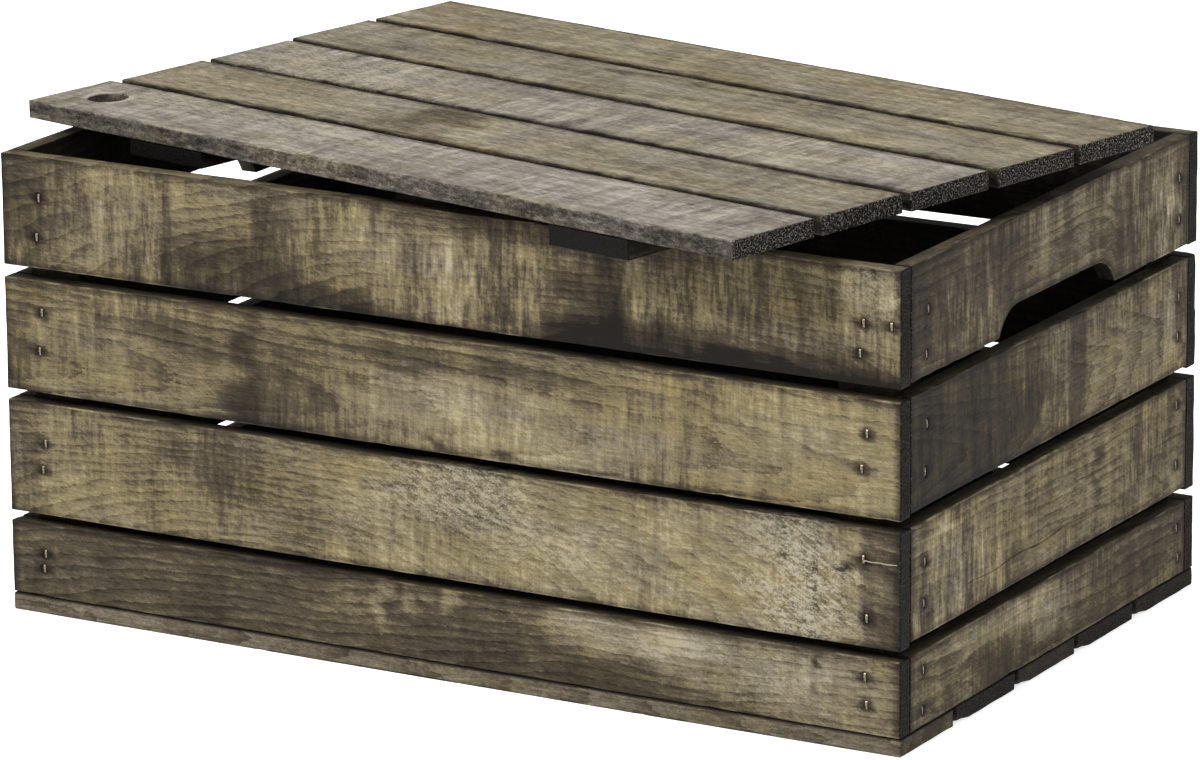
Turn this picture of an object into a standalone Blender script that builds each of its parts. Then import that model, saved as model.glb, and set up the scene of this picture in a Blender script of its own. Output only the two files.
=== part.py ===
"""A slatted wooden toy box with a loose lid, modelled piece by piece.

Metres, +Z up. The origin is the middle of the underside, +X runs along the box and
the front face is at -Y. The lid is shown where it was put down: skewed across the
rim, resting on its two cleats.
"""

import math

import bmesh
import bpy
from mathutils import Matrix, Vector

# Driving dimensions of the box
LENGTH = 0.550
WIDTH = 0.350
RIM = 0.2585
WALL = 0.0105
BOTTOM = 0.010
CLEAR = 0.0003
EDGE_BEVEL = 0.0006

# Side walls: four rows of boards, the lowest one narrower, listed from the top
ROWS = 4
BOARD_HEIGHT = 0.0615
BOARD_GAP = 0.0075

# How much further down the front and back slats reach than the end boards of their row
SLAT_REACH = (0.0008, 0.0018, 0.0021, 0.0)

# Bottom boards, from front to back
BOTTOM_WIDTHS = (0.060, 0.068, 0.068, 0.068, 0.072)
BOTTOM_GAP = 0.0035

# Corner posts: triangular, with their tops one lid board below the rim
POST_LEG = 0.032
POST_DROP = 0.0108

# Hand hold cut in the lower edge of the top board at each end
HOLD_WIDTH = 0.142
HOLD_RISE = 0.0145
HOLD_RADIUS = 0.025
HOLD_SHIFT = 0.004
ARC_STEPS = 8

# Lid, in its own frame: origin at the middle of the boards' underside
LID_BOARD_WIDTH = 0.0615
LID_BOARD_PITCH = 0.0665
LID_BOARD_ENDS = (
    (-0.2635, 0.2590),
    (-0.2605, 0.2600),
    (-0.2595, 0.2615),
    (-0.2620, 0.2635),
    (-0.2615, 0.2630),
)
CLEAT_LENGTH = 0.324
CLEAT_WIDTH = 0.056
CLEATS = (("left", -0.157, 0.0098), ("right", 0.157, 0.0118))
HOLE_RADIUS = 0.011
HOLE_X = -0.2325
LID_PLACE = (0.0037, -0.0262, 0.27015)
LID_TURN = (0.41, -0.83, -13.55)

# Staples: flat wire, crown upright and sunk a little below the board's face
CROWN = 0.0058
WIRE_WIDTH = 0.0012
WIRE_THICK = 0.0009
LEG_LENGTH = 0.018
SINK = 0.0002

# Staples of each row, from the top: (inset from the corner, drop below the board's top edge)
FRONT_LEFT_STAPLES = (
    ((0.024, 0.023), (0.022, 0.045)),
    ((0.024, 0.018), (0.022, 0.040)),
    ((0.024, 0.023), (0.022, 0.038)),
    ((0.022, 0.017), (0.021, 0.0255)),
)
FRONT_RIGHT_STAPLES = (
    ((0.022, 0.030), (0.006, 0.030), (0.024, 0.046)),
    ((0.020, 0.019), (0.023, 0.038)),
    ((0.022, 0.017), (0.020, 0.0485)),
    ((0.021, 0.011), (0.020, 0.026)),
)
RIGHT_END_STAPLES = (
    ((0.030, 0.0265), (0.028, 0.050)),
    ((0.029, 0.018), (0.027, 0.043)),
    ((0.027, 0.022), (0.026, 0.044)),
    ((0.026, 0.011), (0.025, 0.0325)),
)

# Base colours (linear), roughness and metallic value of each kind of piece
FINISHES = {
    "slat_wood": ((0.145, 0.125, 0.090), 0.85, 0.0),
    "end_wood": ((0.110, 0.095, 0.075), 0.85, 0.0),
    "bottom_wood": ((0.080, 0.070, 0.055), 0.90, 0.0),
    "post_wood": ((0.120, 0.085, 0.055), 0.90, 0.0),
    "lid_wood": ((0.290, 0.245, 0.185), 0.75, 0.0),
    "cleat_wood": ((0.100, 0.090, 0.075), 0.90, 0.0),
    "staple_steel": ((0.620, 0.620, 0.600), 0.35, 1.0),
}


def remove_everything():
    for obj in list(bpy.data.objects):
        bpy.data.objects.remove(obj)


def new_collection(name):
    collection = bpy.data.collections.new(name)
    bpy.context.scene.collection.children.link(collection)
    return collection


def new_material(name, colour, roughness, metallic):
    material = bpy.data.materials.new(name)
    material.use_nodes = True
    shader = material.node_tree.nodes["Principled BSDF"]
    shader.inputs["Base Color"].default_value = (*colour, 1.0)
    shader.inputs["Roughness"].default_value = roughness
    shader.inputs["Metallic"].default_value = metallic
    return material


def add_piece(name, mesh, finish, place=(0, 0, 0), parent=None):
    """Puts a piece in the toy box's collection. A child's place is in its parent's frame."""
    piece = bpy.data.objects.new(name, mesh)
    if not mesh.materials:
        mesh.materials.append(bpy.data.materials[finish])
    piece.location = place
    piece.parent = parent
    bpy.data.collections["toy_box"].objects.link(piece)
    return piece


def add_cutter(name, mesh, place=(0, 0, 0), parent=None, collection="cutters"):
    cutter = bpy.data.objects.new(name, mesh)
    cutter.location = place
    cutter.parent = parent
    cutter.hide_render = True
    cutter.display_type = "WIRE"
    bpy.data.collections[collection].objects.link(cutter)
    return cutter


def box_mesh(name, size):
    bm = bmesh.new()
    bmesh.ops.create_cube(bm, size=1.0)
    bmesh.ops.scale(bm, vec=Vector(size), verts=bm.verts)
    mesh = bpy.data.meshes.new(name)
    bm.to_mesh(mesh)
    bm.free()
    return mesh


def outline_mesh(name, points, thickness):
    """A flat outline in XY, extruded by half its thickness each way along Z."""
    curve = bpy.data.curves.new(name, "CURVE")
    curve.dimensions = "2D"
    curve.fill_mode = "BOTH"
    curve.extrude = thickness / 2
    spline = curve.splines.new("POLY")
    spline.points.add(len(points) - 1)
    for point, (x, y) in zip(spline.points, points):
        point.co = (x, y, 0, 1)
    spline.use_cyclic_u = True
    drawn = bpy.data.objects.new(name, curve)
    bpy.context.scene.collection.objects.link(drawn)
    evaluated = drawn.evaluated_get(bpy.context.evaluated_depsgraph_get())
    mesh = bpy.data.meshes.new_from_object(evaluated)
    bpy.data.objects.remove(drawn)
    bm = bmesh.new()
    bm.from_mesh(mesh)
    bmesh.ops.remove_doubles(bm, verts=bm.verts, dist=1e-6)
    bmesh.ops.recalc_face_normals(bm, faces=bm.faces)
    bm.to_mesh(mesh)
    bm.free()
    mesh.name = name
    return mesh


def bevel(piece, width=EDGE_BEVEL):
    modifier = piece.modifiers.new("worn_edges", "BEVEL")
    modifier.width = width
    modifier.segments = 1
    modifier.limit_method = "ANGLE"


def cut(piece, cutter):
    modifier = piece.modifiers.new("cut_" + cutter.name, "BOOLEAN")
    modifier.operation = "DIFFERENCE"
    modifier.object = cutter


def cut_staple_pockets(piece):
    """Takes out of a board or a post whatever staple pockets reach into it."""
    modifier = piece.modifiers.new("staple_pockets", "BOOLEAN")
    modifier.operation = "DIFFERENCE"
    modifier.operand_type = "COLLECTION"
    modifier.collection = bpy.data.collections["staple_pockets"]


def add_board(name, finish, low, high, parent=None):
    """A board between two opposite corners."""
    size = [b - a for a, b in zip(low, high)]
    middle = [(a + b) / 2 for a, b in zip(low, high)]
    board = add_piece(name, box_mesh(name, size), finish, middle, parent)
    bevel(board)
    return board


def row_span(row):
    """The bottom and the top of a wall row; row 0 is the top one."""
    top = RIM - row * (BOARD_HEIGHT + BOARD_GAP)
    lowest = BOTTOM + CLEAR
    return max(top - BOARD_HEIGHT, lowest), top


def make_bottom_boards():
    front = -WIDTH / 2
    for number, width in enumerate(BOTTOM_WIDTHS, 1):
        low = (-LENGTH / 2, front, 0)
        high = (LENGTH / 2, front + width, BOTTOM)
        add_board(f"bottom_board_{number}", "bottom_wood", low, high)
        front += width + BOTTOM_GAP


def make_long_walls():
    """Front and back slats, which run the whole length and cover the end boards' ends."""
    for side, face in (("front", -WIDTH / 2), ("back", WIDTH / 2 - WALL)):
        for row in range(ROWS):
            bottom, top = row_span(row)
            low = (-LENGTH / 2, face, bottom - SLAT_REACH[row])
            high = (LENGTH / 2, face + WALL, top)
            slat = add_board(f"{side}_slat_{row + 1}", "slat_wood", low, high)
            if side == "front":
                cut_staple_pockets(slat)


def hold_outline():
    """A rectangle with rounded corners, drawn about its own middle."""
    half_width = HOLD_WIDTH / 2
    flat = half_width - HOLD_RADIUS
    points = []
    for corner, (x, y) in enumerate(((flat, 0), (-flat, 0), (-flat, 0), (flat, 0))):
        for step in range(ARC_STEPS + 1):
            angle = math.radians(90) * (corner + step / ARC_STEPS)
            points.append((x + HOLD_RADIUS * math.cos(angle), y + HOLD_RADIUS * math.sin(angle)))
    return [p for p, q in zip(points, points[1:] + points[:1]) if math.dist(p, q) > 1e-6]


def make_end_walls():
    """End boards, which fit between the front and the back slats."""
    half = WIDTH / 2 - WALL - CLEAR
    hold = outline_mesh("hand_hold", hold_outline(), 3 * WALL)
    for side, sign in (("left", -1), ("right", 1)):
        outer = sign * LENGTH / 2
        inner = outer - sign * WALL
        for row in range(ROWS):
            bottom, top = row_span(row)
            low = (min(outer, inner), -half, bottom)
            high = (max(outer, inner), half, top)
            board = add_board(f"{side}_end_board_{row + 1}", "end_wood", low, high)
            if side == "right":
                cut_staple_pockets(board)
            if row == 0:
                place = ((outer + inner) / 2, HOLD_SHIFT, bottom + HOLD_RISE - HOLD_RADIUS)
                cutter = add_cutter(f"{side}_hand_hold", hold, place)
                cutter.rotation_euler = (math.radians(90), 0, math.radians(90))
                cut(board, cutter)


def make_corner_posts():
    bottom = BOTTOM + CLEAR
    top = RIM - POST_DROP
    outline = ((0, 0), (POST_LEG, 0), (0, POST_LEG))
    inset = WALL + CLEAR
    corners = (
        ("front_left", -1, -1, 0),
        ("front_right", 1, -1, 90),
        ("back_right", 1, 1, 180),
        ("back_left", -1, 1, 270),
    )
    for name, x_side, y_side, turn in corners:
        mesh = outline_mesh(f"corner_post_{name}", outline, top - bottom)
        place = (x_side * (LENGTH / 2 - inset), y_side * (WIDTH / 2 - inset), (bottom + top) / 2)
        post = add_piece(f"corner_post_{name}", mesh, "post_wood", place)
        post.rotation_euler.z = math.radians(turn)
        bevel(post)
        if name != "back_left":
            cut_staple_pockets(post)


def staple_outline(grow=0.0, above=0.0):
    """A U with its crown along X and its legs down Y, grown all round for its pocket."""
    outside = CROWN / 2 + grow
    inside = CROWN / 2 - WIRE_THICK - grow
    tip = -LEG_LENGTH - grow
    under = -WIRE_THICK - grow
    return (
        (-outside, above), (-outside, tip), (-inside, tip), (-inside, under),
        (inside, under), (inside, tip), (outside, tip), (outside, above),
    )


def staple_places():
    """Name, place of the crown's outer face and outward direction of every modelled staple."""
    places = []
    front = [
        (sign * (LENGTH / 2 - inset), row_span(row)[1] - drop)
        for sign, table in ((-1, FRONT_LEFT_STAPLES), (1, FRONT_RIGHT_STAPLES))
        for row, staples in enumerate(table)
        for inset, drop in staples
    ]
    for number, (x, z) in enumerate(front, 1):
        places.append((f"front_staple_{number:02d}", (x, -WIDTH / 2 + SINK, z), (0, -1, 0)))
    end = [
        (-WIDTH / 2 + inset, row_span(row)[1] - drop)
        for row, staples in enumerate(RIGHT_END_STAPLES)
        for inset, drop in staples
    ]
    for number, (y, z) in enumerate(end, 1):
        places.append((f"right_staple_{number:02d}", (LENGTH / 2 - SINK, y, z), (1, 0, 0)))
    return places


def make_staples():
    """Each staple and the pocket that it sits in. The crown stands upright, across the grain."""
    staple = outline_mesh("staple", staple_outline(), WIRE_WIDTH)
    outline = staple_outline(CLEAR, above=5 * SINK)
    pocket = outline_mesh("staple_pocket", outline, WIRE_WIDTH + 2 * CLEAR)
    for name, place, outward in staple_places():
        up = Vector((0, 0, 1))
        out = Vector(outward)
        turn = Matrix((up, out, up.cross(out))).transposed().to_euler()
        piece = add_piece(name, staple, "staple_steel", place)
        hollow = add_cutter(name + "_pocket", pocket, place, collection="staple_pockets")
        piece.rotation_euler = turn
        hollow.rotation_euler = turn


def make_lid():
    """Five boards on two cleats, all children of an empty at the lid's middle."""
    lid = bpy.data.objects.new("lid", None)
    lid.location = LID_PLACE
    lid.rotation_euler = [math.radians(angle) for angle in LID_TURN]
    bpy.data.collections["toy_box"].objects.link(lid)

    middle_board = len(LID_BOARD_ENDS) // 2
    boards = []
    for number, (left, right) in enumerate(LID_BOARD_ENDS):
        y = (number - middle_board) * LID_BOARD_PITCH
        low = (left, y - LID_BOARD_WIDTH / 2, 0)
        high = (right, y + LID_BOARD_WIDTH / 2, WALL)
        boards.append(add_board(f"lid_board_{number + 1}", "lid_wood", low, high, lid))

    for side, x, depth in CLEATS:
        low = (x - CLEAT_WIDTH / 2, -CLEAT_LENGTH / 2, -depth)
        high = (x + CLEAT_WIDTH / 2, CLEAT_LENGTH / 2, -CLEAR)
        add_board(f"lid_cleat_{side}", "cleat_wood", low, high, lid)

    bm = bmesh.new()
    bmesh.ops.create_cone(
        bm, cap_ends=True, segments=4 * ARC_STEPS, radius1=HOLE_RADIUS, radius2=HOLE_RADIUS, depth=3 * WALL
    )
    drill = bpy.data.meshes.new("finger_hole")
    bm.to_mesh(drill)
    bm.free()
    place = (HOLE_X, -middle_board * LID_BOARD_PITCH, WALL / 2)
    cut(boards[0], add_cutter("finger_hole", drill, place, lid))


def main():
    remove_everything()
    for name in ("toy_box", "cutters", "staple_pockets"):
        new_collection(name)
    for name, finish in FINISHES.items():
        new_material(name, *finish)
    make_staples()
    make_bottom_boards()
    make_long_walls()
    make_end_walls()
    make_corner_posts()
    make_lid()


main()
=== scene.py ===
"""Looks of the slatted toy box: worn, dark-stained boards, wire staples and a skewed lid.

Metres, in the CAD model's frame: +X runs along the box and the front wall is at -Y.
"""

import math

import bmesh
import bpy
import numpy as np
from mathutils import Matrix, Vector


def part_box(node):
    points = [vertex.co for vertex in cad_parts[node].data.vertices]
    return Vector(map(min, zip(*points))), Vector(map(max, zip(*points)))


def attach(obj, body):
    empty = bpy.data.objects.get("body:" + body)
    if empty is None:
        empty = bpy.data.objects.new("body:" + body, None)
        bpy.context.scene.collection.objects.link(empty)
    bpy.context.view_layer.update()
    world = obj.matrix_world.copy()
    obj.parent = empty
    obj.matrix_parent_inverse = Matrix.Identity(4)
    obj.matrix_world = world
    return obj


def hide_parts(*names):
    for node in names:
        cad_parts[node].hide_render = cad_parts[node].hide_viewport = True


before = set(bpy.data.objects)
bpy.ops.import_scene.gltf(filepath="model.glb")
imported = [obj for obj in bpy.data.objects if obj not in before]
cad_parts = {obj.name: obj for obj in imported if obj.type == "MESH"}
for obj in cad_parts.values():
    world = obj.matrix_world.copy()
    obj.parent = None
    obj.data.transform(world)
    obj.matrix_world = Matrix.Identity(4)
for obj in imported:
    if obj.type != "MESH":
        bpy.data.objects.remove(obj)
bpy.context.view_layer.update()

MM = 0.001
UP = Vector((0, 0, 1))
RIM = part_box("front_slat_1")[1].z
BOX_LOW, BOX_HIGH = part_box("bottom_board_1")[0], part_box("back_slat_1")[1]
LENGTH = BOX_HIGH.x - BOX_LOW.x
WIDTH = BOX_HIGH.y - BOX_LOW.y

# Hand hold in the lower edge of the top end boards, across the board from its middle
HOLD_WIDTH = 142 * MM
HOLD_RISE = 14.5 * MM
HOLD_RADIUS = 25 * MM
HOLD_SHIFT = 4 * MM

# Finger hole in the front lid board
HOLE_RADIUS = 11 * MM
HOLE_FROM_END = 31.0 * MM
HOLE_SIDES = 48

# Staples, and how far beyond half a leg's length a CAD staple's middle may be from a crown
CROWN = 5.8 * MM
WIRE_WIDTH = 1.2 * MM
WIRE_THICK = 0.9 * MM
LEG_LENGTH = 18 * MM
SINK = 0.25 * MM
BEND = 0.8 * MM
MATCH_SLACK = 0.6 * MM

# Corner posts as (side, seed of the look, seed of the mesh), and the length of their mesh's steps
POSTS = (
    ("front_left", 100, 910), ("front_right", 101, 912), ("back_left", 99, 909), ("back_right", 100, 911),
)
POST_STEP = 8 * MM


# ---------------------------------------------------------------- smooth random values


def drift(rng, along, across, along_step, across_step):
    """Smooth random values from -1 to 1 over a surface, with features of about the given steps."""
    u = (along - along.min()) / along_step
    v = (across - across.min()) / across_step
    lattice = rng.uniform(-1, 1, (int(u.max()) + 2, int(v.max()) + 2))
    i, j = u.astype(int), v.astype(int)
    fu, fv = u - i, v - j
    fu, fv = fu * fu * (3 - 2 * fu), fv * fv * (3 - 2 * fv)
    low = lattice[i, j] * (1 - fu) + lattice[i + 1, j] * fu
    high = lattice[i, j + 1] * (1 - fu) + lattice[i + 1, j + 1] * fu
    return low * (1 - fv) + high * fv


def smooth_step(low, high, values):
    t = np.clip((values - low) / (high - low), 0, 1)
    return t * t * (3 - 2 * t)


# ---------------------------------------------------------------- meshes


def mesh_from(name, points, faces):
    mesh = bpy.data.meshes.new(name)
    mesh.from_pydata([tuple(p) for p in points], [], faces)
    mesh.update()
    return mesh


def points_of(mesh):
    flat = np.zeros(len(mesh.vertices) * 3, np.float32)
    mesh.vertices.foreach_get("co", flat)
    return flat.reshape(-1, 3).astype(float)


def ruled(length, step, radius):
    """Grid lines along one side of a board, about its middle, close together at the rounded ends."""
    near = radius * np.array([0, 0.15, 0.45, 1.0, 1.9])
    count = max(1, round((length - 2 * near[-1]) / step))
    inner = np.linspace(near[-1], length - near[-1], count + 1)
    return np.concatenate([near[:-1], inner, (length - near[:-1])[::-1]]) - length / 2


def gridded_box(lines):
    """Points and quads of a box's surface on the grid lines of its three axes."""
    counts = [len(line) for line in lines]
    index, points, quads = {}, [], []

    def vertex(key):
        if key not in index:
            index[key] = len(points)
            points.append([lines[axis][key[axis]] for axis in range(3)])
        return index[key]

    for axis in range(3):
        u, v = (axis + 1) % 3, (axis + 2) % 3
        for end in (0, counts[axis] - 1):
            for a in range(counts[u] - 1):
                for b in range(counts[v] - 1):
                    quad = []
                    for step_a, step_b in ((0, 0), (1, 0), (1, 1), (0, 1)):
                        key = [0, 0, 0]
                        key[axis], key[u], key[v] = end, a + step_a, b + step_b
                        quad.append(vertex(tuple(key)))
                    quads.append(quad if end else quad[::-1])
    return np.array(points), quads


def board_frame(node, outward, along):
    """A board's own frame and size: X along its grain, -Y out of its seen face, Z across it."""
    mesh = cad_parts[node].data
    found = []
    for face in mesh.polygons:
        for entry in found:
            if abs(entry[0].dot(face.normal)) > 0.9995:
                entry[1] += face.area
                break
        else:
            found.append([face.normal.copy(), face.area])
    found.sort(key=lambda entry: -entry[1])
    thick = found[0][0]
    wide = next(n for n, _ in found if abs(n.dot(thick)) < 0.02)
    long = thick.cross(wide).normalized()
    x = long if long.dot(Vector(along)) > 0 else -long
    y = -thick if thick.dot(Vector(outward)) > 0 else thick
    turn = Matrix((x, y, x.cross(y))).transposed()
    local = points_of(mesh) @ np.array(turn)
    low, high = local.min(0), local.max(0)
    place = turn @ Vector((low + high) / 2)
    return Matrix.Translation(place) @ turn.to_4x4(), high - low


def hold_rise(along):
    """How far the hand hold rises above a top end board's lower edge."""
    half = HOLD_WIDTH / 2
    from_arc = np.maximum(np.abs(along - HOLD_SHIFT) - (half - HOLD_RADIUS), 0)
    arc = np.sqrt(np.maximum(HOLD_RADIUS**2 - from_arc**2, 0))
    return np.where(from_arc < HOLD_RADIUS, np.maximum(arc - HOLD_RADIUS + HOLD_RISE, 0), 0)


def hold_lines():
    """Grid lines along a top end board that follow the hand hold's two arcs."""
    first = math.asin((HOLD_RADIUS - HOLD_RISE) / HOLD_RADIUS)
    angles = np.linspace(first, math.pi / 2, 12)
    arc = HOLD_WIDTH / 2 - HOLD_RADIUS + HOLD_RADIUS * np.cos(angles)
    ends = arc[0] + 0.3 * MM
    return np.concatenate([-arc, arc, [-ends, ends]]) + HOLD_SHIFT


def edge_wear(rng, points, half, radius, wane):
    """How far the edges are rounded off near each point of a box's surface, with a few chips.

    Wane is an extra rounding of the seen face's upper edge.
    """
    x, y, z = points.T
    wear = radius * (1.05 + 0.35 * drift(rng, x, z, 18 * MM, 9 * MM))
    wear += wane * (y < 0) * smooth_step(14 * MM, 8 * MM, half[2] - z)
    for _ in range(rng.integers(6, 12)):
        spot = rng.uniform(-half[0], half[0])
        spread, depth = rng.uniform(1.5, 7) * MM, rng.uniform(0.3, 1.3) * MM
        side = (np.sign(y) == rng.choice([-1, 1])) & (np.sign(z) == rng.choice([-1, 1]))
        wear += side * depth * np.exp(-(((x - spot) / spread) ** 2))
    return np.minimum(wear, 0.85 * min(half[1], half[2]))


def uneven_faces(rng, points, half):
    """Moves a board's faces, edges and ends inward a little, by smooth random amounts."""
    x, y, z = points.T
    both = np.abs(y) / half[1]
    sag = 0.12 * (1 + drift(rng, x, z + (y > 0), 60 * MM, 22 * MM)) * MM
    wobble = 0.12 * (1 + drift(rng, x, (z > 0) * 1.0, 40 * MM, 0.5)) * MM
    ragged = 0.15 * (1 + drift(rng, z, y + (x > 0), 7 * MM, 5 * MM)) * MM
    return x * (1 - ragged / half[0]), y * (1 - sag * both / half[1]), z * (1 - wobble / half[2])


def plank_mesh(name, size, rng, step, radius, wane=0.0, hold=False):
    """A rough-sawn board about its own middle, with a hand hold in its lower edge if hold is set."""
    half = size / 2
    lines = [ruled(size[0], step, radius), ruled(size[1], 3.5 * MM, radius), ruled(size[2], 3.2 * MM, radius)]
    if hold:
        kept = [x for x in lines[0] if not np.any(np.abs(hold_lines() - x) < 0.5 * MM)]
        lines[0] = np.sort(np.concatenate([kept, hold_lines()]))
    points, quads = gridded_box(lines)

    wear = edge_wear(rng, points, half, radius, wane)[:, None]
    core = np.clip(points, wear - half, half - wear)
    away = points - core
    points = core + wear * away / np.maximum(np.linalg.norm(away, axis=1), 1e-9)[:, None]

    x, y, z = uneven_faces(rng, points, half)
    if hold:
        rise = hold_rise(x)
        z = -half[2] + rise + (z + half[2]) * (1 - rise / size[2])
    return mesh_from(name, np.stack([x, y, z], 1), quads)


def extrude(bm, outline, by):
    """Adds a solid to bm: a flat outline extruded by a vector."""
    face = bm.faces.new([bm.verts.new(point) for point in outline])
    made = bmesh.ops.extrude_face_region(bm, geom=[face])
    moved = [v for v in made["geom"] if isinstance(v, bmesh.types.BMVert)]
    bmesh.ops.translate(bm, vec=by, verts=moved)
    bmesh.ops.recalc_face_normals(bm, faces=bm.faces)


def add_dish(bm, place, half_sizes, turn=0.0):
    """Adds a flattened ball to bm, which cuts a dish where it crosses a face."""
    made = bmesh.ops.create_uvsphere(bm, u_segments=14, v_segments=8, radius=1)
    shape = Matrix.Translation(place) @ Matrix.Rotation(turn, 4, "Y")
    shape = shape @ Matrix.Diagonal((*half_sizes, 1))
    bmesh.ops.transform(bm, matrix=shape, verts=made["verts"])


def add_crack(bm, path, face_y, width, depth):
    """Adds a long V-shaped blade to bm, which cuts a crack along a path of (x, z) in the face."""
    last = len(path) - 1
    rings = []
    for step, (x, z) in enumerate(path):
        half = max(0.08 * width, 0.5 * width * math.sin(math.pi * step / last) ** 0.5)
        corners = ((face_y - 0.6 * MM, z - half), (face_y - 0.6 * MM, z + half), (face_y + depth, z))
        rings.append([bm.verts.new((x, y, across)) for y, across in corners])
    for ring, following in zip(rings, rings[1:]):
        for a in range(3):
            b = (a + 1) % 3
            bm.faces.new((ring[a], ring[b], following[b], following[a]))
    bm.faces.new(rings[0][::-1])
    bm.faces.new(rings[-1])


def cut_by(piece, bm, tangled):
    """Cuts the shapes in bm, given in the piece's own frame, out of the piece for good.

    Tangled says that the shapes cross each other.
    """
    bmesh.ops.recalc_face_normals(bm, faces=bm.faces)
    mesh = bpy.data.meshes.new("cutter")
    bm.to_mesh(mesh)
    cutter = bpy.data.objects.new("cutter", mesh)
    cutter.matrix_world = piece.matrix_world
    bpy.context.scene.collection.objects.link(cutter)
    modifier = piece.modifiers.new("cut", "BOOLEAN")
    modifier.operation = "DIFFERENCE"
    modifier.object = cutter
    modifier.use_self = tangled
    bpy.context.view_layer.update()
    evaluated = piece.evaluated_get(bpy.context.evaluated_depsgraph_get())
    result = bpy.data.meshes.new_from_object(evaluated)
    if not result.vertices:
        raise ValueError(f"nothing is left of {piece.name}")
    piece.modifiers.clear()
    whole = piece.data
    piece.data = result
    result.name = whole.name
    bpy.data.meshes.remove(whole)
    bpy.data.objects.remove(cutter)
    bpy.data.meshes.remove(mesh)


# ---------------------------------------------------------------- stain and painted shade, worked out per point

# Painted shade: lightness of the boards' hidden faces, which lie inside the dark box, and of the finger
# hole's wall
HIDDEN_FACE_SHADE = 0.04
HOLE_WALL_SHADE = 0.24

# Reach of the dark stain around a staple
STAPLE_STAIN = 3.2 * MM


def stain_weight(rng, x, z, marks):
    """How strongly each soft-edged mark (x, z, half length, half height, amount) covers each point."""
    total = np.zeros(len(x))
    if not marks:
        return total
    x = x + 9 * MM * drift(rng, x, z, 22 * MM, 9 * MM) + 5 * MM * drift(rng, x, z, 7 * MM, 40 * MM)
    z = z + 4 * MM * drift(rng, x, z, 16 * MM, 6 * MM)
    for at_x, at_z, reach_x, reach_z, amount in marks:
        t = np.hypot((x - at_x * MM) / (reach_x * MM), (z - at_z * MM) / (reach_z * MM))
        total += amount * smooth_step(1.35, 0.42, t)
    return total


def face_tones(look, rng, x, z, half):
    """Lightness, silvering, saw marks and tint of a board's seen face."""
    side_x, side_z = x + half[0], z + half[2]
    light = look["light"] + 0.06 * drift(rng, x, z, 70 * MM, 25 * MM)
    light += 0.05 * drift(rng, x, z, 22 * MM, 9 * MM)
    light += stain_weight(rng, side_x, side_z, look.get("stains", ()))
    saw = look["saw"] * np.clip(0.7 + 0.9 * drift(rng, x, z, 45 * MM, 30 * MM), 0.08, 1.5)
    light += 0.12 * look["saw"] * drift(rng, x + 0.08 * z, z, 6 * MM, 45 * MM)
    zoned = np.zeros(len(x))
    for middle, reach, amount in look.get("zones", ()):
        from_middle = np.abs(side_x - middle * MM + 1.2 * MM * drift(rng, x, z, 30 * MM, 8 * MM))
        zoned += amount * smooth_step((reach + 1) * MM, (reach - 1) * MM, from_middle)
    silver = stain_weight(rng, side_x, side_z, look.get("silver", ())) * np.clip(1 + 5 * zoned, 0, 1)
    tint = look.get("tint", 0.75) + 0.35 * drift(rng, x, z, 55 * MM, 18 * MM) + 1.6 * zoned
    return light + zoned, silver, saw, tint


def side_masks(x, y, z, half):
    """How fully each point lies on a long edge, on either wide face and on either end, from 0 to 1."""
    on_edge = smooth_step(1.3 * MM, 0.3 * MM, half[2] - np.abs(z))
    on_face = smooth_step(1.3 * MM, 0.3 * MM, half[1] - np.abs(y))
    on_end = smooth_step(1.5 * MM, 0.3 * MM, half[0] - np.abs(x))
    return on_edge, on_face, on_end


def shade_sides(light, look, rng, x, y, z, half):
    """Lightness with the hidden face darkened as painted shade, the edges darkened by stain and painted
    shade, and the arrises and the seen face's border stained.
    """
    on_edge, on_face, on_end = side_masks(x, y, z, half)
    # Stain and painted shade: the long edges in the gaps between boards are dark, and an upper edge is
    # darkest at its hidden side, which the board above shades.
    back, front = look.get("top_edge", (0.02, 0.5))
    upper = back + (front - back) * smooth_step(0.7, -1.0, y / half[1])
    edge = np.where(z > 0, upper, look.get("edge", 0.1))
    light = light + (edge - light) * on_edge * (1 - on_face)
    # Painted shade: the hidden face, inside the box, is made nearly black.
    light += (HIDDEN_FACE_SHADE - light) * (y > 0) * on_face
    arris = on_edge * on_face * (1 - on_end) * (y < 0)
    light += arris * (look.get("arris", -0.1) + 0.3 * drift(rng, x, z, 11 * MM, 5 * MM))
    border = look.get("border", 0.22)
    for amount, inset in (
        (border, half[2] - z),
        (look.get("foot", border), half[2] + z),
        (look.get("end_border", 0.22), half[0] - np.abs(x)),
    ):
        light -= amount * smooth_step(4.5 * MM, 0.8 * MM, inset) * (1 - on_edge)
    return light


def shade_hole(light, hole_at, rng, x, y, z, half):
    """Lightness with the finger hole's pale chipped rim, and its wall darkened as painted shade."""
    away = np.hypot(x - hole_at, z)
    sideways = np.abs(x - hole_at) / np.maximum(away, MM)
    on_top = y < 1 * MM - half[1]
    chipped = smooth_step(16 * MM, 12.5 * MM, away) * sideways**2 * on_top
    light = light + 0.50 * chipped * (1 + drift(rng, x, z, 4 * MM, 4 * MM))
    # Painted shade: the wall inside the hole is dark.
    wall = (away < HOLE_RADIUS + 0.4 * MM) & (y > 1 * MM - half[1])
    return np.where(wall, HOLE_WALL_SHADE, light)


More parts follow.
